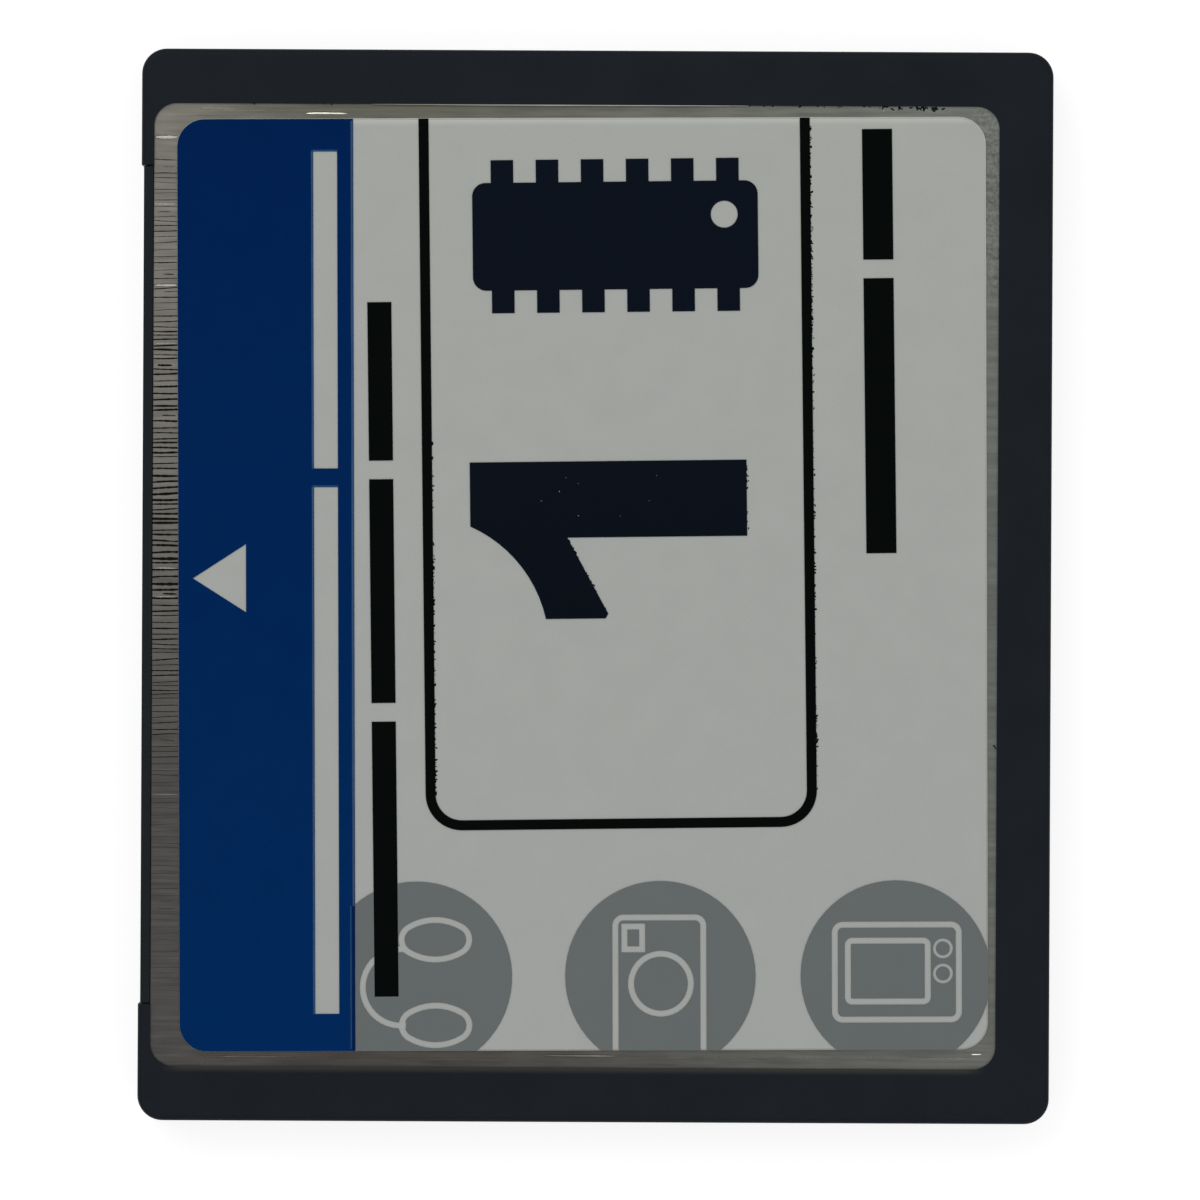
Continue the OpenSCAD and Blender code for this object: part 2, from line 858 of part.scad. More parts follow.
module contact() {
    side_view(tail_w, tail_outline());
    translate([0, 0, row_z]) {
        side_view(beam_w, contact_outline());
        block(
            [socket_back - base_len, FIT - cell_w / 2, contact_t / 2 - cell_h / 2],
            [socket_back - base_len / 3, cell_w / 2 - FIT, cell_h / 2 - contact_t / 2]
        );
    }
}

module contact_row() {
    for (i = [0 : contacts_per_row - 1])
        translate([0, i * contact_pitch - row_len / 2, 0])
            contact();
}

module contacts_upper() {
    color("#c9a24a") translate([0, 0, half_t]) contact_row();
}

module contacts_lower() {
    color("#c9a24a") translate([0, 0, half_t]) mirror([0, 0, 1]) contact_row();
}

// Circuit board

module circuit_board() {
    c = board_chamfer;
    color("#1d5b37")
        translate([board_front, 0, half_t - board_top])
            linear_extrude(board_t)
                polygon([
                    [0, c - board_wid / 2], [c, -board_wid / 2],
                    [board_len - c, -board_wid / 2], [board_len, c - board_wid / 2],
                    [board_len, board_wid / 2 - c], [board_len - c, board_wid / 2],
                    [c, board_wid / 2], [0, board_wid / 2 - c]
                ]);
}

module tail_pads() {
    color("#c9a24a")
        for (i = [0 : contacts_per_row - 1], z = [half_t + board_top, half_t - board_top - pad_t])
            translate([pad_front, i * contact_pitch - row_len / 2 - pad_w / 2, z])
                cube([pad_len, pad_w, pad_t]);
}

// Chips, drawn with the board's face at z = 0

// Draws its children on the upper or the lower face of the board
module on_board(upper = true) {
    translate([0, 0, half_t])
        mirror([0, 0, upper ? 0 : 1])
            translate([0, 0, board_top])
                children();
}

// Section of a moulded body: widest over the leads, with a draft above and below
function body_section(half) =
    let (
        draft = 0.1,
        low = (chip_t - lead_t) / 2,
        high = (chip_t + lead_t) / 2
    )
    [
        [draft - half, 0], [half - draft, 0], [half, low], [half, high],
        [half - draft, chip_t], [draft - half, chip_t], [-half, high], [-half, low]
    ];

module chip_body(len, wid) {
    dimple_r = 0.5;
    dimple_inset = 1.5;
    dimple_depth = 0.05;
    translate([0, 0, chip_standoff])
        difference() {
            intersection() {
                side_view(2 * wid, body_section(len / 2));
                rotate(90) side_view(2 * len, body_section(wid / 2));
            }
            translate([len / 2 - dimple_inset, wid / 2 - dimple_inset, chip_t - dimple_depth])
                cylinder(r = dimple_r, h = chip_t);
        }
}

// Gull-wing leads along the +X side of a body
module lead_row(half, count, reach) {
    mid = chip_standoff + chip_t / 2;
    foot_start = lead_shoulder + lead_slant;
    for (i = [0 : count - 1])
        translate([half, (i - (count - 1) / 2) * lead_pitch, 0])
            side_view(lead_w, [
                [0, mid + lead_t / 2], [lead_shoulder + lead_t / 2, mid + lead_t / 2],
                [foot_start + lead_t / 2, lead_t], [reach, lead_t], [reach, 0],
                [foot_start - lead_t / 2, 0], [lead_shoulder - lead_t / 2, mid - lead_t / 2],
                [0, mid - lead_t / 2]
            ]);
}

module memory_chip() {
    chip_body(memory_len, memory_wid);
}

module memory_chip_leads() {
    for (turn = [0, 180])
        rotate(turn) lead_row(memory_len / 2, memory_leads, memory_lead_reach);
}

module memory_chip_upper() {
    color("#17181a") on_board() translate([memory_x, memory_y, 0]) memory_chip();
}

module memory_leads_upper() {
    color("#b9bbbd") on_board() translate([memory_x, memory_y, 0]) memory_chip_leads();
}

module memory_chip_lower() {
    color("#17181a") on_board(false) translate([memory_x, memory_y, 0]) memory_chip();
}

module memory_leads_lower() {
    color("#b9bbbd") on_board(false) translate([memory_x, memory_y, 0]) memory_chip_leads();
}

module controller_chip() {
    color("#17181a")
        on_board()
            translate([controller_x, controller_y, 0])
                chip_body(controller_side, controller_side);
}

module controller_leads() {
    color("#b9bbbd")
        on_board()
            translate([controller_x, controller_y, 0])
                for (turn = [0 : 3])
                    rotate(90 * turn)
                        lead_row(controller_side / 2, controller_leads_side, controller_lead_reach);
}

// Small parts

// Runs its children at the place of every resistor array
module at_arrays() {
    for (i = [0 : array_count - 1])
        translate([array_x, (i - (array_count - 1) / 2) * array_pitch, 0])
            children();
}

module resistor_arrays() {
    color("#1a1c20")
        on_board()
            at_arrays()
                translate([-array_wid / 2, -array_len / 2, 0])
                    cube([array_wid, array_len, array_h]);
}

module resistor_array_ends() {
    end_w = array_len / 8;
    color("#b9bbbd")
        on_board()
            at_arrays()
                for (k = [-1.5 : 1.5], side = [0, 180])
                    rotate(side)
                        translate([array_wid / 2, k * array_len / 4 - end_w / 2, 0])
                            cube([array_end_t, end_w, array_h * 0.9]);
}

// Capacitors beside the controller, and in rows under it on the lower face
module at_caps() {
    for (side = [-1, 1], along = [-1, 1])
        on_board()
            translate([controller_x + side * cap_x, controller_y + along * controller_side / 4, 0])
                rotate(90)
                    children();
    for (i = [-1 : 1], j = [-1, 1])
        on_board(false)
            translate([controller_x + i * controller_side / 3, controller_y + j * controller_side / 4, 0])
                children();
}

module capacitors() {
    shrink = 0.02;
    color("#8a6f52")
        at_caps()
            translate([cap_end - cap_len / 2, shrink - cap_wid / 2, shrink])
                cube([cap_len - 2 * cap_end, cap_wid - 2 * shrink, cap_h - 2 * shrink]);
}

module capacitor_ends() {
    color("#b9bbbd")
        at_caps()
            for (side = [-1, 1])
                translate([side * (cap_len - cap_end) / 2, 0, cap_h / 2])
                    cube([cap_end, cap_wid, cap_h], center = true);
}

frame_upper();
frame_lower();
cover_upper();
cover_lower();
label_film();
print_blue();
print_black();
print_grey();
socket_housing();
contacts_upper();
contacts_lower();
circuit_board();
tail_pads();
controller_chip();
controller_leads();
memory_chip_upper();
memory_leads_upper();
memory_chip_lower();
memory_leads_lower();
resistor_arrays();
resistor_array_ends();
capacitors();
capacitor_ends();
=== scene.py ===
# %% [markdown]
# # A flash memory card in Blender
#
# The card is a sandwich: two black moulded frame halves hold two thin steel covers, and the
# upper cover carries a printed label. A CAD model already gives every solid its exact place,
# so this script never moves one. It adds what CAD leaves out: the studio, the finishes, and
# the small marks of print, cutting and wear that make the card look handled.

# %% Load the CAD frame
import json
import math

import bpy
import numpy as np
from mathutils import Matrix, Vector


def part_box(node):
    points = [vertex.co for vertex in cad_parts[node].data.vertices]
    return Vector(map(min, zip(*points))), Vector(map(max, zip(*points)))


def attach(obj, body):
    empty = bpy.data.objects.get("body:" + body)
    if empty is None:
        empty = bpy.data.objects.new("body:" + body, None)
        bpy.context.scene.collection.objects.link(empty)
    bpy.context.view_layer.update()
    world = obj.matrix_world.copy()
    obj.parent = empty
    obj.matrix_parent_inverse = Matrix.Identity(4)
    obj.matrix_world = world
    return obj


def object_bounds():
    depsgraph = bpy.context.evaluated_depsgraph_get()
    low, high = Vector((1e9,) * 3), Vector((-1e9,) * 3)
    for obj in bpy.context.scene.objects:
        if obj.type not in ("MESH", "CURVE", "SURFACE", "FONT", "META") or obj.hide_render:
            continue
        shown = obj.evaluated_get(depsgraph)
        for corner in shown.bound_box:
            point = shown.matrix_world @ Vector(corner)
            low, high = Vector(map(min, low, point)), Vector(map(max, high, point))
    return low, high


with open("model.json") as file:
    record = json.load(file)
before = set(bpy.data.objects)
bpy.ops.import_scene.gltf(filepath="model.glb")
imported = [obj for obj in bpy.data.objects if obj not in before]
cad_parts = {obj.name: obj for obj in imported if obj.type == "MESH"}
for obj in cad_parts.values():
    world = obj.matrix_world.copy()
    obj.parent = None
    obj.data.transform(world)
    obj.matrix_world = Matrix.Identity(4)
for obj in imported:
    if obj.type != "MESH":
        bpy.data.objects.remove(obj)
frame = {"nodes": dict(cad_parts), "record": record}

MM = 0.001
CAD_BOX = [list(corner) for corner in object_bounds()]
low, high = (np.array(corner) for corner in CAD_BOX)
print("solids:", len(frame["nodes"]), "size in mm:", (high - low) / MM)

# %% [markdown]
# ## The camera
#
# The reference picture is a flat view from straight above with almost no perspective. A real
# photographer gets that with a long lens from far away, so the camera stands half a metre over
# the card, which is only 43 mm long. The picture is a quarter of a degree off square, and the
# camera is turned by as much.

# %% Set up the camera
SHOT_WIDTH = 47.9 * MM          # what the picture shows from side to side
SHOT_CENTRE = (0.184 * MM, -0.543 * MM)
SHOT_HEIGHT = 0.5               # lens above the card's face
SHOT_TURN = math.radians(0.27)
SHOT_NEAREST = 0.01             # nothing closer to the lens is drawn

camera = bpy.data.objects.new("camera", bpy.data.cameras.new("camera"))
bpy.context.scene.collection.objects.link(camera)
bpy.context.scene.camera = camera
camera.data.lens = camera.data.sensor_width * SHOT_HEIGHT / SHOT_WIDTH
camera.data.clip_start = SHOT_NEAREST
camera.location = (*SHOT_CENTRE, high[2] + SHOT_HEIGHT)
camera.rotation_euler = (0.0, 0.0, SHOT_TURN)
bpy.context.scene.view_settings.view_transform = "Standard"
print("lens in mm:", camera.data.lens)

# %% [markdown]
# ## Building a material from nodes
#
# A Blender material is a small network: texture nodes make patterns, and a Principled shader
# turns them into a surface. Four short helpers keep each finish readable. The first turns a
# colour that was picked on screen into the linear values that a shader needs. The second starts
# a material with its constants on the shader's own sockets. The third adds one node, and feeds
# each of its inputs with a number or with another node's output. The fourth hands the finished
# patterns to the shader.

# %% Helpers for materials
def screen(red, green, blue):
    """Linear colour of a screen colour from 0 to 255: a short straight part, then a 2.4 power."""
    c = np.array([red, green, blue]) / 255
    linear = np.where(c <= 0.04045, c / 12.92, ((c + 0.055) / 1.055) ** 2.4)
    return (*linear.tolist(), 1.0)


def start_finish(name, roughness, **sockets):
    """New material with a Principled shader, whose constants are set on its own sockets."""
    material = bpy.data.materials.new(name)
    material.use_nodes = True
    shader = material.node_tree.nodes["Principled BSDF"]
    shader.inputs["Roughness"].default_value = roughness
    for socket, value in sockets.items():
        shader.inputs[socket.replace("_", " ")].default_value = value
    return material


def add(material, kind, settings=None, **feeds):
    """One more node. A feed is a number, a colour, or another node's output; _0 means input 0."""
    node = material.node_tree.nodes.new("ShaderNode" + kind)
    for name, value in (settings or {}).items():
        setattr(node, name, value)
    for name, value in feeds.items():
        key = int(name[1:]) if name[0] == "_" else name.replace("_", " ")
        if isinstance(value, bpy.types.NodeSocket):
            material.node_tree.links.new(value, node.inputs[key])
        else:
            node.inputs[key].default_value = value
    return node.outputs[0]


def feed(material, **feeds):
    """Links node outputs to the Principled shader's inputs."""
    shader = material.node_tree.nodes["Principled BSDF"]
    for name, value in feeds.items():
        material.node_tree.links.new(value, shader.inputs[name.replace("_", " ")])

# %% [markdown]
# ## Patterns
#
# Every pattern here is worked out from the object's own coordinates, in metres, so it has a real
# size and stays on the piece in any view. A noise with cells of 0.1 mm needs a scale of 10 000
# per metre, so the helpers take a size in millimetres and do that sum themselves. A finish that
# changes from place to place does so by a share that goes from 0 to 1 between two places.

# %% Helpers for patterns
def place(material, stretch=(1, 1, 1), slant=0.0):
    """Object coordinates, turned by slant degrees about Z and divided by stretch on each axis."""
    where = add(material, "TexCoord").node.outputs["Object"]
    return add(material, "Mapping", {"vector_type": "TEXTURE"}, Vector=where,
               Rotation=(0, 0, math.radians(slant)), Scale=stretch)


def axis(material, name):
    """One coordinate in metres."""
    where = add(material, "TexCoord").node.outputs["Object"]
    return add(material, "SeparateXYZ", Vector=where).node.outputs[name]


def grain(material, size, detail=2.0, stretch=(1, 1, 1), slant=0.0):
    """Noise from 0 to 1 with lumps of the given size in millimetres."""
    return add(material, "TexNoise", Vector=place(material, stretch, slant),
               Scale=1 / (size * MM), Detail=detail)


def span(material, value, low, high, start=0.0, end=1.0, smooth=False):
    """Value carried from low..high to start..end and held there."""
    kind = "SMOOTHSTEP" if smooth else "LINEAR"
    return add(material, "MapRange", {"interpolation_type": kind}, Value=value,
               From_Min=low, From_Max=high, To_Min=start, To_Max=end)


def across(material, name, low, high, start=0.0, end=1.0, smooth=False):
    """Share that goes from start to end between two places in millimetres on one axis."""
    return span(material, axis(material, name), low * MM, high * MM, start, end, smooth)


def combine(material, operation, first, second):
    """One sum of two values, such as MULTIPLY, ADD or MAXIMUM."""
    return add(material, "Math", {"operation": operation}, _0=first, _1=second)


def times(material, first, *others):
    """All values multiplied with each other."""
    for other in others:
        first = combine(material, "MULTIPLY", first, other)
    return first


def blend(material, share, under, over, kind="MIX"):
    """Colour under, changed towards over by share."""
    node = add(material, "Mix", {"data_type": "RGBA", "blend_type": kind},
               _0=share, _6=under, _7=over).node
    return node.outputs[2]


def relief(material, height, depth, normal=None):
    """Bump whose full swing is depth in millimetres."""
    feeds = {"Normal": normal} if normal else {}
    return add(material, "Bump", Height=height, Distance=depth * MM, Strength=1.0, **feeds)


def soft_edges(material, radius):
    """Normal of the surface as if its sharp edges had been rounded by radius in millimetres."""
    return add(material, "Bevel", {"samples": 4}, Radius=radius * MM)

# %% [markdown]
# ## Moulded plastic
#
# The frame is glass-filled nylon. It is nearly black with a blue cast, and its mould was spark
# eroded, which leaves a fine even grain. Each edge catches a little light because no mould has a
# perfectly sharp corner. Just below the window a soft paler band is painted into the colour, a
# painted reflection of the room on the rounded rim. The socket is another polymer, a trace greener
# and flatter, as the picture shows between the two seams of the socket edge.

# %% Frame and socket plastic
GLINT_MOST = 0.7                        # share of painted highlight in the band below the window
GLINT_BAND = (-19.5, -19.24)            # Y over which the band comes up, from the rim inwards
GLINT_ENDS = ((-17.2, -16.4), (14.8, 15.6))


def window_glint(material):
    """Share of a painted glint below the window: one fade along Y, ended by fades on both axes."""
    return times(material, across(material, "Y", *GLINT_BAND, 0.0, GLINT_MOST, smooth=True),
                 across(material, "Y", -1, 1, 1.0, 0.0),
                 across(material, "X", *GLINT_ENDS[0]),
                 across(material, "X", *GLINT_ENDS[1], 1.0, 0.0))


def moulded(name, dark, pale, roughness, lump):
    """Two close tones mixed by broad and fine noise, with mould grain as relief."""
    plastic = start_finish(name, roughness, Specular_IOR_Level=0.07)
    broad = grain(plastic, lump, 3.0)
    fine = grain(plastic, 0.09, 2.0)
    share = combine(plastic, "ADD", span(plastic, broad, 0.3, 0.7, 0.0, 0.7),
                    span(plastic, fine, 0.35, 0.65, 0.0, 0.3))
    # Below the window a paler tone is mixed in: a painted reflection of the room on the rim.
    feed(plastic, Base_Color=blend(plastic, window_glint(plastic),
                                   blend(plastic, share, dark, pale), screen(58, 56, 54)),
         Roughness=span(plastic, broad, 0.3, 0.7, roughness - 0.06, roughness + 0.06),
         Normal=relief(plastic, fine, 0.004, soft_edges(plastic, 0.05)))
    return plastic


finishes = {
    "frame_plastic": moulded("frame_plastic", screen(14, 20, 25), screen(21, 26, 32), 0.5, 3.0),
    "socket_plastic": moulded("socket_plastic", screen(17, 23, 26), screen(24, 29, 33), 0.55, 1.5),
}
print("plastics:", sorted(finishes))

# %% [markdown]
# ## Brushed steel
#
# The covers are stainless sheet, brushed from the socket edge to the grip edge. Brushing leaves
# long faint streaks: a noise that is stretched eighty times along X and kept short across, over
# broader clouds. Steel has hardly a colour of its own, it shows the room, so that light and shade
# are painted into its tone by place: light at the top, warm and dark at the bottom beside the
# socket, and cool towards the grip edge, where one corner is scuffed. Two much brighter copies of
# the same steel paint highlights and glints.

# %% Brushed steel
STEEL_GAIN = 0.8        # share of the tone that is left when the lamps add their own shine
STREAK_SWING, CLOUD_SWING = 0.08, 0.16          # how far they move the tone, as a share of it
SCUFFED_CORNER = ((14.6, 15.4), (11, 12.5))     # where the scuffs fade in, on X and on Y


def tone_along_y(material, low_tone, middle_tone, high_tone, reach=(-19, 19)):
    """Three tones spread over a reach along Y in millimetres, and held beyond it."""
    where = across(material, "Y", *reach)
    lower = blend(material, span(material, where, 0.0, 0.5), low_tone, middle_tone)
    return blend(material, span(material, where, 0.5, 1.0), lower, high_tone)


def brushed_steel(name, roughness, gain):
    """Tone by place, times gain and 1 plus the swings of streaks, clouds and scuffs."""
    steel = start_finish(name, roughness, Metallic=1.0)
    # Tone by place is painted reflection and shade: light at the top, dark at the bottom by the
    # socket.
    socket_side = tone_along_y(steel, screen(76, 74, 72), screen(106, 104, 98),
                               screen(113, 111, 104), (-7, 15))
    middle = tone_along_y(steel, screen(70, 67, 64), screen(86, 85, 80), screen(92, 92, 84))
    grip_side = tone_along_y(steel, screen(98, 99, 95), screen(97, 100, 96), screen(107, 109, 104))
    tone = blend(steel, across(steel, "X", -17, -11), socket_side, middle)
    tone = blend(steel, across(steel, "X", -6, 14), tone, grip_side)
    streak = grain(steel, 0.06, 3.0, (80, 1, 1), 0.4)
    cloud = grain(steel, 0.26, 3.0, (8, 1, 1), -1.0)
    swing = combine(steel, "ADD", span(steel, streak, 0.3, 0.7, -STREAK_SWING, STREAK_SWING),
                    span(steel, cloud, 0.3, 0.7, -CLOUD_SWING, CLOUD_SWING))
    scuff = times(steel, across(steel, "X", *SCUFFED_CORNER[0]),
                  across(steel, "Y", *SCUFFED_CORNER[1]),
                  span(steel, grain(steel, 0.13, 2.0), 0.35, 0.65, -0.24, 0.16))
    swing = combine(steel, "ADD", swing, scuff)
    level = times(steel, combine(steel, "ADD", swing, 1.0), gain)
    feed(steel, Base_Color=blend(steel, 1.0, tone, level, "MULTIPLY"),
         Roughness=span(steel, streak, 0.2, 0.8, roughness - 0.06, roughness + 0.06),
         Normal=relief(steel, streak, 0.0015, soft_edges(steel, 0.03)))
    return steel


finishes["cover_steel"] = brushed_steel("cover_steel", 0.38, STEEL_GAIN)
# Two brighter copies of the steel, for painted glints and painted highlights.
lit_steel = brushed_steel("lit_steel", 0.3, 2.6 * STEEL_GAIN)
highlight_steel = brushed_steel("highlight_steel", 0.2, 7 * STEEL_GAIN)
print("steels:", lit_steel.name, highlight_steel.name, "and", finishes["cover_steel"].name)

# %% [markdown]
# ## Label film and inks
#
# The label is a pale silver-grey film with a faint sheen, and the inks are printed on it in flat
# areas. The black shapes inside the box have a blue cast that the thin lines and bars lack. Each
# ink drifts slowly in tone from the bottom of the card to the top, and gets a very fine mottle
# where the ink took the film a little differently. A painted sheen runs along the film's upper
# edge, where it bends down. The label lies a trace askew on the card, and this painted sheen
# turns with it.

# %% Film and inks
LABEL_TURN = 0.42       # degrees by which the label lies askew
LABEL_SHOULDER = (18.35, 18.68)         # Y over which the film bends down at its upper edge


def inside_box(material):
    """1 between the lines of the printed box and 0 from the lines outwards: three fades as one."""
    return times(material, across(material, "X", -6.3, -6.0),
                 across(material, "X", 7.6, 7.9, 1.0, 0.0), across(material, "Y", -8.6, -8.3))


def printed(name, at_low_y, at_high_y, roughness, gloss, mottle, speck, edge_light=0.0,
            outside=None):
    """Tone drifts from the -Y side to the +Y side, and fine noise pulls it towards speck.

    edge_light is the share of a painted sheen at the label's upper edge, where the film bends down.
    outside is another tone for everything that isn't inside the printed box.
    """
    ink = start_finish(name, roughness, Specular_IOR_Level=gloss)
    tone = blend(ink, across(ink, "Y", -18.6, 18.6), at_low_y, at_high_y)
    if outside:
        tone = blend(ink, inside_box(ink), outside, tone)
    cloud = span(ink, grain(ink, 1.6, 3.0), 0.3, 0.7, 0.0, mottle)
    fine = span(ink, grain(ink, 0.07, 1.0), 0.3, 0.7, 0.0, mottle)
    tone = blend(ink, combine(ink, "ADD", cloud, fine), tone, speck)
    label_y = add(ink, "SeparateXYZ", Vector=place(ink, slant=LABEL_TURN)).node.outputs["Y"]
    edge = span(ink, label_y, *(spot * MM for spot in LABEL_SHOULDER), 0.0, edge_light, smooth=True)
    feed(ink, Base_Color=blend(ink, edge, tone, screen(196, 197, 192)),
         Normal=relief(ink, grain(ink, 0.12, 1.0), 0.0015, soft_edges(ink, 0.02)))
    return ink


# The label film's last value, 0.5, is the share of the painted sheen at its upper edge.
finishes["label_film"] = printed("label_film", screen(164, 166, 163), screen(166, 169, 164), 0.5,
                                 0.1, 0.06, screen(110, 114, 112), 0.5)
finishes["ink_blue"] = printed("ink_blue", screen(0, 42, 92), screen(0, 33, 81), 0.4,
                               0.012, 0.1, screen(0, 20, 60))
finishes["ink_black"] = printed("ink_black", screen(5, 10, 16), screen(8, 16, 28), 0.42,
                                0.02, 0.06, screen(14, 14, 16), outside=screen(0, 3, 2))
finishes["ink_grey"] = printed("ink_grey", screen(96, 101, 101), screen(99, 104, 104), 0.45,
                               0.1, 0.04, screen(120, 124, 122))
# The cut edge's tone runs from darker at the bottom to paler at the top: a painted highlight.
film_edge = printed("film_edge", screen(150, 149, 142), screen(176, 177, 170), 0.5,
                    0.1, 0.05, screen(110, 110, 104))
thin_blue = printed("thin_blue", screen(52, 82, 122), screen(50, 82, 120), 0.4,
                    0.02, 0.15, screen(12, 40, 84))
deep_blue = printed("deep_blue", screen(8, 30, 74), screen(6, 24, 62), 0.4,
                    0.02, 0.05, screen(0, 20, 60))
print("film and inks:", sorted(name for name in finishes if name.startswith(("label", "ink"))))

# %% [markdown]
# ## What the card hides
#
# The circuit board, chips and contacts sit inside a closed card, but they are real pieces and
# get real finishes: solder mask over a glass weave and copper tracks, pressed epoxy, gold on the
# contacts, dull tin on the leads, and fired ceramic.

# %% Board, chips, metals and ceramics
def solder_mask():
    """Green lacquer; tracks show as a lighter grid of lines, the glass weave as relief."""
    mask = start_finish("board", 0.32, Specular_IOR_Level=0.4)
    tracks = add(mask, "TexBrick", {"offset": 0.5, "squash": 1.0}, Vector=place(mask),
                 Scale=1 / (1.1 * MM), Mortar_Size=0.06, Mortar_Smooth=0.3, Brick_Width=2.4,
                 Row_Height=0.3, Color1=screen(8, 66, 40), Color2=screen(10, 74, 45),
                 Mortar=screen(30, 110, 66))
    weave = times(mask, *(add(mask, "TexWave", {"bands_direction": threads}, Vector=place(mask),
                              Scale=1 / (3.2 * MM)).node.outputs["Fac"] for threads in "XY"))
    feed(mask, Base_Color=blend(mask, span(mask, grain(mask, 2.0), 0.3, 0.7, 0.0, 0.3), tracks,
                                screen(6, 52, 34)),
         Normal=relief(mask, weave, 0.006))
    return mask


def plated(name, dull, bright, roughness):
    """Metal whose tone wanders between dull and bright, with a finely pitted face."""
    metal = start_finish(name, roughness, Metallic=1.0)
    wander = grain(metal, 0.4, 3.0)
    pits = grain(metal, 0.04, 2.0)
    feed(metal, Base_Color=blend(metal, span(metal, wander, 0.3, 0.7), dull, bright),
         Roughness=span(metal, pits, 0.3, 0.7, roughness - 0.08, roughness + 0.1),
         Normal=relief(metal, pits, 0.0015, soft_edges(metal, 0.02)))
    return metal


def fired(name, tone, fleck, roughness, size, specular):
    """Matte body colour with flecks of a second tone and a grain of the same size."""
    body = start_finish(name, roughness, Specular_IOR_Level=specular)
    lumps = grain(body, size, 3.0)
    feed(body, Base_Color=blend(body, span(body, lumps, 0.45, 0.75), tone, fleck),
         Roughness=span(body, lumps, 0.3, 0.7, roughness - 0.08, roughness + 0.08),
         Normal=relief(body, lumps, 0.006, soft_edges(body, 0.04)))
    return body


METALS = {                  # dull tone, bright tone, roughness
    "contact_metal": (screen(196, 150, 72), screen(226, 184, 104), 0.25),
    "pad_copper": (screen(200, 150, 80), screen(230, 186, 110), 0.35),
    "tinned_metal": (screen(176, 178, 180), screen(214, 215, 216), 0.42),
}
BODIES = {                  # tone, fleck, roughness, size of the grain in millimetres, specular
    "chip_plastic": (screen(26, 26, 28), screen(40, 40, 42), 0.62, 0.09, 0.2),
    "array_ceramic": (screen(24, 26, 32), screen(44, 46, 54), 0.3, 0.2, 0.4),
    "capacitor_ceramic": (screen(150, 118, 86), screen(174, 142, 106), 0.5, 0.15, 0.3),
}
finishes["board"] = solder_mask()
finishes |= {name: plated(name, *looks) for name, looks in METALS.items()}
finishes |= {name: fired(name, *looks) for name, looks in BODIES.items()}

# %% Put each finish on its solids
slot_of = {part["node"]: part["material_slot"] for part in frame["record"]["subparts"]}
for name, solid in frame["nodes"].items():
    solid.data.materials.clear()
    solid.data.materials.append(finishes[slot_of[name]])
print("finishes:", len(finishes))

# %% [markdown]
# ## Slender marks as closed bodies
#
# Scores in the steel, slivers of ink and crumbs of flash all have the same form: a thin body that
# follows a short path and ends in a point. One function makes any number of them at once. It
# carries a flat ellipse along each path, and a single vertex closes each end, so the mesh has no
# holes and every face looks outwards.

# %% Slender bodies
SPOTS = np.random.default_rng(7)


def slender_mesh(paths, half_wide, half_high, sides=6):
    """Rings of path point + sideways * wide * cos + up * high * sin, closed by a pole at each end.

    paths has the shape (bodies, points, 3); the two half sizes have the shape (bodies, points).
    """
    bodies, points, _ = paths.shape
    ahead = np.gradient(paths, axis=1)
    ahead /= np.linalg.norm(ahead, axis=2, keepdims=True)
    sideways = np.stack([-ahead[..., 1], ahead[..., 0], 0 * ahead[..., 0]], axis=2)
    angle = np.arange(sides) * 2 * np.pi / sides
    rings = (paths[:, :, None]
             + sideways[:, :, None] * (half_wide[..., None] * np.cos(angle))[..., None]
             + np.array([0, 0, 1]) * (half_high[..., None] * np.sin(angle))[..., None])
    reach = 0.5 * (half_wide[:, [0, -1]] + half_high[:, [0, -1]])[..., None]
    poles = paths[:, [0, -1]] + reach * ahead[:, [0, -1]] * np.array([[[-1], [1]]])
    verts = np.concatenate([rings.reshape(bodies, -1, 3), poles], axis=1)

    ring, side = np.meshgrid(np.arange(points - 1), np.arange(sides), indexing="ij")
    after = (side + 1) % sides
    quads = np.stack([ring * sides + side, ring * sides + after,
                      (ring + 1) * sides + after, (ring + 1) * sides + side], axis=2).reshape(-1, 4)
    here, there = np.arange(sides), (np.arange(sides) + 1) % sides
    last = (points - 1) * sides
    start = np.stack([here * 0 + points * sides, there, here], axis=1)
    end = np.stack([here * 0 + points * sides + 1, last + here, last + there], axis=1)
    step = np.arange(bodies)[:, None, None] * verts.shape[1]
    faces = [(block[None] + step).reshape(-1, block.shape[1]).tolist()
             for block in (quads, start, end)]
    return verts.reshape(-1, 3), faces[0] + faces[1] + faces[2]


def new_piece(name, verts, faces, finish, slot, smooth=True):
    """Mesh object at the origin, with its place in its vertices, riding on the card."""
    mesh = bpy.data.meshes.new(name)
    mesh.from_pydata((verts * MM).tolist(), [], faces)
    if smooth:
        mesh.shade_smooth()
    mesh.materials.append(finish)
    piece = bpy.data.objects.new(name, mesh)
    bpy.context.scene.collection.objects.link(piece)
    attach(piece, "root")
    print(name, "faces:", len(faces))
    return piece


def straight_paths(starts, ends, points, level, bend=0.0):
    """Points spread evenly from each start to each end, bowed sideways by up to bend."""
    share = np.linspace(0, 1, points)[None, :, None]
    flat = starts[:, None] + (ends - starts)[:, None] * share
    bow = bend * SPOTS.normal(size=(len(starts), 1)) * np.sin(np.pi * share[..., 0])
    wave = 0.35 * bend * SPOTS.normal(size=(len(starts), 1)) * np.sin(2 * np.pi * share[..., 0])
    flat[..., 1] += bow + wave
    return np.concatenate([flat, np.full(flat.shape[:2] + (1,), level)], axis=2)


def lens_taper(bodies, points, sharp=0.5):
    """Width share along a body: the height of a half circle, raised to the power sharp."""
    share = np.linspace(-0.96, 0.96, points)
    return np.tile((1 - share ** 2) ** sharp, (bodies, 1))

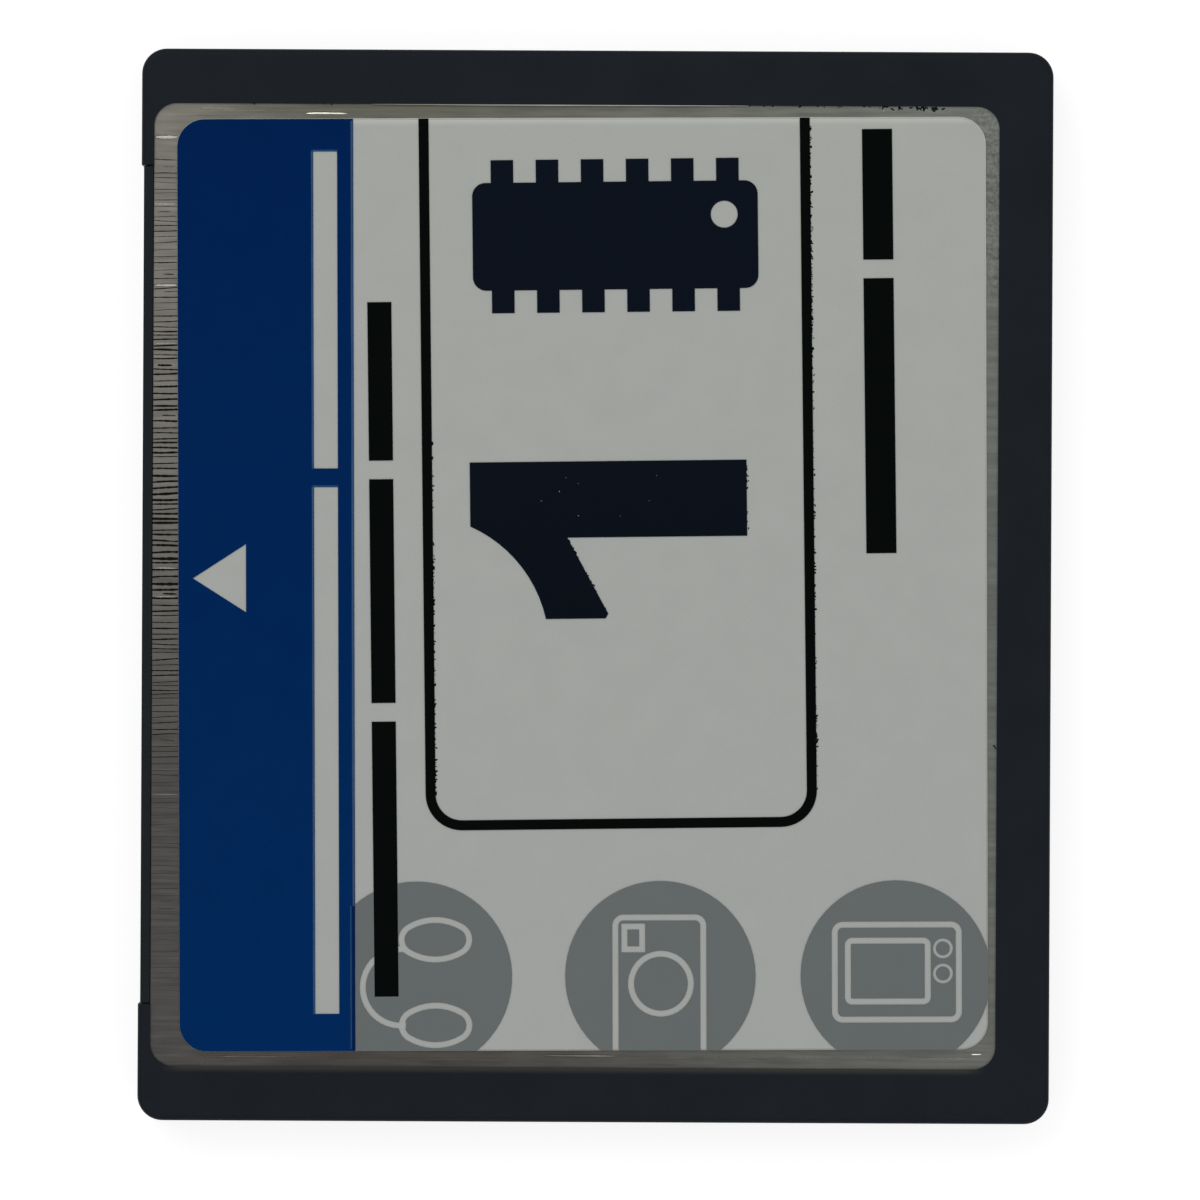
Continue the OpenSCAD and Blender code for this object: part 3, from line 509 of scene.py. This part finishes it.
# %% [markdown]
# ## Scores in the steel
#
# The bare strip beside the socket is crossed by a hundred or so dark scores, where the card has
# been pushed along its host. They lie close and deep round the middle, and thin and faint
# towards both ends. Each gets its own place, slant, length and width from a seeded draw, so the
# strip comes out the same each time.

# %% Where the marks lie
film_low, film_high = (np.array(corner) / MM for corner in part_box("label_film"))
STEEL_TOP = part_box("cover_upper")[1][2] / MM
INK_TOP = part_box("print_blue")[1][2] / MM
FILM_TOP = film_high[2]
LABEL_CENTRE = (film_low[:2] + film_high[:2]) / 2
LABEL_HALF = np.array([32.27, 37.22]) / 2
PRINT_TURN = 0.88       # degrees by which the black print lies askew on the card


def turned(spots, degrees, centre=LABEL_CENTRE):
    """Points turned about a centre: (x cos - y sin, x sin + y cos)."""
    angle = math.radians(degrees)
    matrix = np.array([[math.cos(angle), math.sin(angle)], [-math.sin(angle), math.cos(angle)]])
    return (np.asarray(spots, dtype=float) - centre) @ matrix + centre


print("label centre in mm:", LABEL_CENTRE)

# %% Dark scores
STRIP_LEFT, STRIP_RIGHT = -17.69, -16.62        # bare steel between rim and label
STRIP_FOOT, STRIP_HEAD = -16.5, 17.2
SCORE_Y = [-16.5, -8, -6, -1, 0, 3.5, 5, 10, 11, 17]
SCORE_WIDE = [0.003, 0.006, 0.016, 0.028, 0.046, 0.046, 0.036, 0.031, 0.018, 0.013]
SHORT_SCORES = 0.1      # share of scores that stop before the label


def score_marks(steps):
    """Scores at uneven steps along Y, with the half width read off the table above."""
    place_y = STRIP_HEAD - np.cumsum(SPOTS.uniform(*steps, 160))
    place_y = place_y[place_y > STRIP_FOOT]
    count = len(place_y)
    short = SPOTS.random(count) > 1 - SHORT_SCORES
    left = np.where(short, SPOTS.uniform(-17.6, -17.2, count), STRIP_LEFT)
    label_side = STRIP_RIGHT - math.tan(math.radians(LABEL_TURN)) * place_y
    right = np.where(short, left + SPOTS.uniform(0.3, 0.6, count), label_side)
    lean = SPOTS.normal(0.006, 0.014, count)
    starts = np.stack([left, place_y - lean], axis=1)
    ends = np.stack([right, place_y + lean], axis=1)
    paths = straight_paths(starts, ends, 11, STEEL_TOP, 0.007)
    wide = np.interp(place_y, SCORE_Y, SCORE_WIDE) * SPOTS.uniform(0.55, 1.35, count)
    wide = wide[:, None] * SPOTS.uniform(0.75, 1.2, (count, 11)) * lens_taper(count, 11, 0.12)
    return paths, wide, 0.006 * lens_taper(count, 11, 0.3)


def dark_score():
    """Grime in a score: nearly black, uneven, and dull."""
    grime = start_finish("score_grime", 0.7, Specular_IOR_Level=0.05)
    lumps = grain(grime, 0.08, 3.0)
    feed(grime, Base_Color=blend(grime, span(grime, lumps, 0.3, 0.8), screen(4, 4, 4),
                                 screen(20, 19, 17)),
         Normal=relief(grime, lumps, 0.003))
    return grime


score_grime = dark_score()
new_piece("cover_scores", *slender_mesh(*score_marks((0.14, 0.3))), score_grime, "cover_steel")

# %% [markdown]
# ## Painted highlights and glints
#
# Two places get bright dashes, painted highlights in a much brighter steel. Weaker glints cross
# the strip beside the socket between the scores, and run along the upper and lower strips. One
# more lies on the edge of the rim over the window. All are the same slender bodies in a brighter
# steel, so their light is painted into their colour. The glints stay flat-shaded, because smooth
# shading would turn so low a body into a round wire.

# %% Painted highlights
HIGHLIGHTS = np.array([            # start x, end x, y, half width, half height
    [-11.65, -10.0, 18.83, 0.055, 0.012], [15.1, 15.5, -18.62, 0.03, 0.012],
])
GLINTS = np.array([          # the same five values
    [-17.66, -16.74, 17.86, 0.09, 0.004], [-17.66, -16.74, 15.19, 0.035, 0.004],
    [-17.66, -16.72, 11.95, 0.08, 0.004], [-17.6, -16.7, 9.62, 0.02, 0.004],
    [-17.66, -16.68, 1.75, 0.03, 0.004], [-17.66, -16.68, 0.64, 0.045, 0.004],
    [-17.66, -16.68, 0.28, 0.035, 0.004], [-17.6, -16.7, -0.5, 0.035, 0.004],
    [-17.6, -16.7, -3.49, 0.02, 0.004], [-17.66, -16.6, -8.39, 0.03, 0.004],
    [-15.8, -14.1, 19.03, 0.03, 0.004], [-14.9, -10.3, 18.95, 0.02, 0.004],
    [-15.7, -11.8, -18.84, 0.035, 0.004],
    [-11.0, -3.0, -18.92, 0.012, 0.004], [-2.0, 1.0, -18.75, 0.05, 0.004],
    [3.0, 15.0, -18.78, 0.02, 0.004],
])
RIM_GLINT = np.array([[-9.0, 6.0, 19.21, 0.045, 0.012]])
RIM_HEIGHT = 0.13            # of the rim's edge over the steel, just below its rounded top


def glint_marks(rubs, level=STEEL_TOP):
    """One body for each row of a table, half sunk at the given level."""
    starts, ends = rubs[:, [0, 2]], rubs[:, [1, 2]]
    paths = straight_paths(starts, ends, 11, level, 0.006)
    taper = lens_taper(len(rubs), 11, 0.3) * SPOTS.uniform(0.8, 1.1, (len(rubs), 11))
    return paths, rubs[:, 3:4] * taper, rubs[:, 4:] * lens_taper(len(rubs), 11, 0.3)


# Bright dashes, glints and the rim's line: painted highlights, bright through a brighter steel.
new_piece("cover_highlights", *slender_mesh(*glint_marks(HIGHLIGHTS)), highlight_steel, "cover_steel")
new_piece("cover_glints", *slender_mesh(*glint_marks(GLINTS)), lit_steel, "cover_steel", smooth=False)
new_piece("rim_glint", *slender_mesh(*glint_marks(RIM_GLINT, STEEL_TOP + RIM_HEIGHT)), lit_steel,
          "frame_plastic", smooth=False)

# %% [markdown]
# ## The label's cut edge
#
# The label was die cut. Its rim is a pale line all round, slightly bruised by the knife, and it
# is what separates the blue field from the steel. It is one small profile carried round the label
# outline: four straight sides and four quarter circles, with the outward direction at each point.
# It shows widest at the top and on the right, as in the picture. Its tone is paler towards the
# top, a painted highlight.

# %% Cut edge
LABEL_RADIUS = 1.1


def rounded_outline(middle, half_size, radius, arc_points=16, side_points=60):
    """Closed path of quarter circles and straight sides, and the way outwards at each point."""
    half = half_size - radius
    turn = np.linspace(0, np.pi / 2, arc_points)
    spots, outward = [], []
    for quarter, signs in enumerate(([1, 1], [-1, 1], [-1, -1], [1, -1])):
        angle = turn + quarter * np.pi / 2
        out = np.stack([np.cos(angle), np.sin(angle)], axis=1)
        arc = middle + half * signs + radius * out
        following = ([-1, 1], [-1, -1], [1, -1], [1, 1])[quarter]
        goal = middle + half * following + radius * out[-1]
        share = np.linspace(0, 1, side_points + 2)[1:-1, None]
        spots += [arc, arc[-1] + (goal - arc[-1]) * share]
        outward += [out, np.tile(out[-1], (side_points, 1))]
    return np.concatenate(spots), np.concatenate(outward)


def carried_profile(path, outward, profile, reach):
    """Grid of path point + outward * profile out * reach, at profile height, closed both ways."""
    out = profile[None, :, 0] * np.where(profile[None, :, 0] > 0, reach[:, None], 1)
    flat = path[:, None] + outward[:, None] * out[..., None]
    rise = np.broadcast_to(profile[None, :, 1], out.shape)
    verts = np.concatenate([flat, rise[..., None]], axis=2)
    rows, columns = out.shape
    row, column = np.meshgrid(np.arange(rows), np.arange(columns), indexing="ij")
    after_row, after_column = (row + 1) % rows, (column + 1) % columns
    faces = np.stack([row * columns + column, after_row * columns + column,
                      after_row * columns + after_column, row * columns + after_column], axis=2)
    return verts.reshape(-1, 3), faces.reshape(-1, 4).tolist()


edge_path, edge_out = rounded_outline(LABEL_CENTRE, LABEL_HALF, LABEL_RADIUS)
edge_path, edge_out = turned(edge_path, LABEL_TURN), turned(edge_out, LABEL_TURN, np.zeros(2))
EDGE_PROFILE = np.array([
    [-0.05, FILM_TOP - 0.01], [0.0, STEEL_TOP], [0.05, STEEL_TOP], [0.045, STEEL_TOP + 0.04],
    [0.025, FILM_TOP - 0.006], [0.0, FILM_TOP + 0.004], [-0.05, FILM_TOP + 0.003],
])
edge_reach = 0.2 + 0.3 * np.maximum(edge_out[:, 1], 0) + 0.2 * np.maximum(edge_out[:, 0], 0)
edge_reach *= SPOTS.uniform(0.8, 1.2, len(edge_path))
new_piece("label_cut_edge", *carried_profile(edge_path, edge_out, EDGE_PROFILE, edge_reach),
          film_edge, "label_film")

# %% [markdown]
# ## Print that is a little out of register
#
# The blue was printed in two passes that don't quite meet. A lighter blue line follows the left
# sides of the pale openings and the edge of the band, and over the grey disc the second pass shows
# as a thin dark line with a pale gap beside it. These lines are slender bodies too, laid flat on
# the ink.

# %% Second pass of blue
BAND_WIDTH = 7.02
BAND_EDGE = LABEL_CENTRE[0] - LABEL_HALF[0] + BAND_WIDTH
BAR_LEFT, BAR_RIGHT = BAND_EDGE - 1.6, BAND_EDGE - 0.64
BARS_Y = [(-17.04, 3.99), (4.73, 17.39)]      # ends of the two pale bars
GREY_EDGE_TOP = -12.75
LABEL_FOOT, LABEL_HEAD = -18.45, 18.6


def flat_lines(lines, level, high=0.004):
    """Straight lines from a table of start x, start y, end x, end y and half width."""
    lines = np.array(lines, dtype=float)
    starts, ends = turned(lines[:, :2], LABEL_TURN), turned(lines[:, 2:4], LABEL_TURN)
    paths = straight_paths(starts, ends, 24, level)
    wide = lines[:, 4:] * SPOTS.uniform(0.85, 1.1, (len(lines), 24))
    return paths, wide, np.full(wide.shape, high)


pale_pass = [[BAR_LEFT - 0.05, low_y, BAR_LEFT - 0.05, high_y, 0.045] for low_y, high_y in BARS_Y]
pale_pass += [[BAR_LEFT - 0.05, high_y + 0.04, BAR_RIGHT, high_y + 0.04, 0.03]
              for _, high_y in BARS_Y]
pale_pass += [[BAND_EDGE - 0.06, GREY_EDGE_TOP, BAND_EDGE - 0.06, LABEL_HEAD, 0.055],
              [BAND_EDGE - 0.17, LABEL_FOOT, BAND_EDGE - 0.17, GREY_EDGE_TOP, 0.025]]
dark_pass = [[BAND_EDGE - 0.05, LABEL_FOOT, BAND_EDGE - 0.05, GREY_EDGE_TOP, 0.05]]
pale_lines = flat_lines(pale_pass, INK_TOP)
new_piece("print_blue_thin", *slender_mesh(*pale_lines), thin_blue, "ink_blue")
dark_lines = flat_lines(dark_pass, INK_TOP + 0.003)
new_piece("print_blue_deep", *slender_mesh(*dark_lines), deep_blue, "ink_blue")

# %% [markdown]
# ## Crumbs and pinholes
#
# Black ink tears a little where a line ends. Crumbs of it sit along both long sides of the printed
# box, at the foot of the figure and on its flag, and a few pinholes let the pale film through.
# Shreds of moulding flash hang over the window's upper edge, with a few crumbs of steel beside
# them, made bright by a painted highlight.
# All of them are short bodies, scattered by a seeded draw round the places where they are seen.

# %% Crumbs of ink and flash
def crumbs(centres, spread, size, level):
    """Short bodies round each centre, turned at random; size is the range of half lengths."""
    count = len(centres)
    centre = centres + SPOTS.normal(size=(count, 2)) * spread
    angle = SPOTS.uniform(0, np.pi, count)
    half = SPOTS.uniform(*size, count)
    reach = np.stack([np.cos(angle), np.sin(angle)], axis=1) * half[:, None]
    paths = straight_paths(centre - reach, centre + reach, 5, level)
    wide = half[:, None] * SPOTS.uniform(0.35, 0.7, (count, 1)) * lens_taper(count, 5)
    return paths, wide, 0.35 * wide


def along(start, end, count):
    """Random places on the straight line from start to end."""
    share = SPOTS.random((count, 1))
    return np.array(start) + (np.array(end) - np.array(start)) * share


BOX_SIDE, BOX_LINE_SIDE = 8.76, -6.46       # X of the box's two long sides
FLAG_EDGE = ((-1.1, 1.95), (0.5, -1.15))
STEM_FOOT = ((6.09, 4.95), (6.09, 2.0))
box_places = np.concatenate([along((BOX_SIDE, -8.4), (BOX_SIDE, 18.3), 120),
                             along((BOX_SIDE, 9.0), (BOX_SIDE, 18.3), 90),
                             along((BOX_LINE_SIDE, -8.4), (BOX_LINE_SIDE, 6.0), 110)])
box_crumbs = crumbs(turned(box_places, PRINT_TURN), (0.025, 0.02), (0.02, 0.065), FILM_TOP + 0.006)
new_piece("box_crumbs", *slender_mesh(*box_crumbs), finishes["ink_black"], "ink_black")
figure_places = np.concatenate([along(*FLAG_EDGE, 34), along(*STEM_FOOT, 22)])
figure_crumbs = crumbs(turned(figure_places, PRINT_TURN), (0.03, 0.03), (0.02, 0.07),
                       FILM_TOP + 0.008)
new_piece("figure_crumbs", *slender_mesh(*figure_crumbs), finishes["ink_black"], "ink_black")

PINHOLES = np.array([[2.14, 3.45], [2.43, 4.43], [-1.2, 4.33], [-0.7, 4.12], [-1.46, 3.78],
                     [-2.17, 3.41], [0.98, 2.82], [-0.7, 2.82]])
pinholes = crumbs(PINHOLES, (0.01, 0.01), (0.012, 0.032), INK_TOP)
new_piece("ink_pinholes", *slender_mesh(*pinholes), film_edge, "label_film")

WINDOW_TOP = 19.2
flash_places = np.concatenate([
    np.array([[6.02, WINDOW_TOP], [8.75, WINDOW_TOP], [9.83, WINDOW_TOP], [10.62, WINDOW_TOP],
              [16.0, -6.3], [15.98, -6.36]]),
    along((-14.0, WINDOW_TOP), (15.0, WINDOW_TOP), 26),
])
flash = crumbs(flash_places, (0.05, 0.012), (0.03, 0.075), STEEL_TOP + 0.02)
new_piece("window_flash", *slender_mesh(*flash), finishes["frame_plastic"], "frame_plastic")
shreds = crumbs(along((11.2, WINDOW_TOP - 0.05), (13.9, WINDOW_TOP - 0.05), 26), (0.03, 0.045),
                (0.03, 0.11), STEEL_TOP + 0.02)
new_piece("window_shreds", *slender_mesh(*shreds), finishes["frame_plastic"], "frame_plastic")

# Crumbs of steel whose brightness is a painted highlight from the brighter steel.
pale_places = along((11.3, 19.08), (14.6, 19.08), 12)
pale_crumbs = crumbs(pale_places, (0.03, 0.05), (0.015, 0.035), STEEL_TOP + 0.004)
new_piece("steel_crumbs", *slender_mesh(*pale_crumbs), highlight_steel, "cover_steel")

# %% [markdown]
# ## Studio
#
# Product pictures are taken in a light tent: pale walls all round and large soft lamps. The world
# stands for the tent. It lights the card at about half strength, and it is plain white wherever the
# camera, a mirror or a piece of glass looks at it. Two wide lamps add the other half from above,
# the stronger one from the upper left.

# %% World and lamps
def tent(strength):
    """Grey background for lighting, white where a camera, glossy or transmission ray ends."""
    world = bpy.data.worlds.new("tent")
    bpy.context.scene.world = world
    world.use_nodes = True
    tree = world.node_tree
    tree.nodes.clear()
    kinds = tree.nodes.new("ShaderNodeLightPath").outputs
    seen = kinds["Is Camera Ray"]
    for other in ("Is Glossy Ray", "Is Transmission Ray"):
        either = tree.nodes.new("ShaderNodeMath")
        either.operation = "MAXIMUM"
        tree.links.new(seen, either.inputs[0])
        tree.links.new(kinds[other], either.inputs[1])
        seen = either.outputs[0]
    mix = tree.nodes.new("ShaderNodeMixShader")
    tree.links.new(seen, mix.inputs[0])
    for socket, level in ((1, strength), (2, 1.0)):
        wall = tree.nodes.new("ShaderNodeBackground")
        wall.inputs["Color"].default_value = (1, 1, 1, 1)
        wall.inputs["Strength"].default_value = level
        tree.links.new(wall.outputs[0], mix.inputs[socket])
    tree.links.new(mix.outputs[0], tree.nodes.new("ShaderNodeOutputWorld").inputs[0])


def softbox(name, at, width, power):
    """Square lamp of the given width at a point, turned to face the card."""
    lamp = bpy.data.objects.new(name, bpy.data.lights.new(name, "AREA"))
    lamp.data.size = width
    lamp.data.energy = power
    lamp.location = at
    direction = np.array(at) / np.linalg.norm(at)
    lamp.rotation_euler = (math.acos(direction[2]), 0, math.atan2(direction[0], -direction[1]))
    bpy.context.scene.collection.objects.link(lamp)


TENT_STRENGTH = 0.56
tent(TENT_STRENGTH)
softbox("key_lamp", (-0.22, 0.3, 0.55), 0.5, 1.6)
softbox("fill_lamp", (0.3, -0.25, 0.5), 0.6, 0.8)
print("lamps in watts:", [lamp.energy for lamp in bpy.data.lights])

# %% Floor
FLOOR_HALF = 2.0
FLOOR_GLOW, FLOOR_TONE = 0.78, 0.32     # together white to the camera, but a shadow still shows


def paper_floor():
    """Large square at the card's underside: pale paper that also glows to the camera."""
    mesh = bpy.data.meshes.new("floor")
    corners = [(-FLOOR_HALF, -FLOOR_HALF, 0), (FLOOR_HALF, -FLOOR_HALF, 0),
               (FLOOR_HALF, FLOOR_HALF, 0), (-FLOOR_HALF, FLOOR_HALF, 0)]
    mesh.from_pydata(corners, [], [(0, 1, 2, 3)])
    floor = bpy.data.objects.new("floor", mesh)
    bpy.context.scene.collection.objects.link(floor)
    paper = bpy.data.materials.new("floor_paper")
    paper.use_nodes = True
    tree = paper.node_tree
    kinds = add(paper, "LightPath").node.outputs
    seen = combine(paper, "MAXIMUM", kinds["Is Camera Ray"],
                   combine(paper, "MAXIMUM", kinds["Is Glossy Ray"], kinds["Is Transmission Ray"]))
    glow = add(paper, "Emission", Color=(1, 1, 1, 1),
               Strength=times(paper, seen, FLOOR_GLOW))
    sheet = add(paper, "BsdfDiffuse", Color=(FLOOR_TONE, FLOOR_TONE, FLOOR_TONE, 1))
    both = add(paper, "AddShader", _0=glow, _1=sheet)
    tree.links.new(both, tree.nodes["Material Output"].inputs["Surface"])
    mesh.materials.append(paper)


paper_floor()
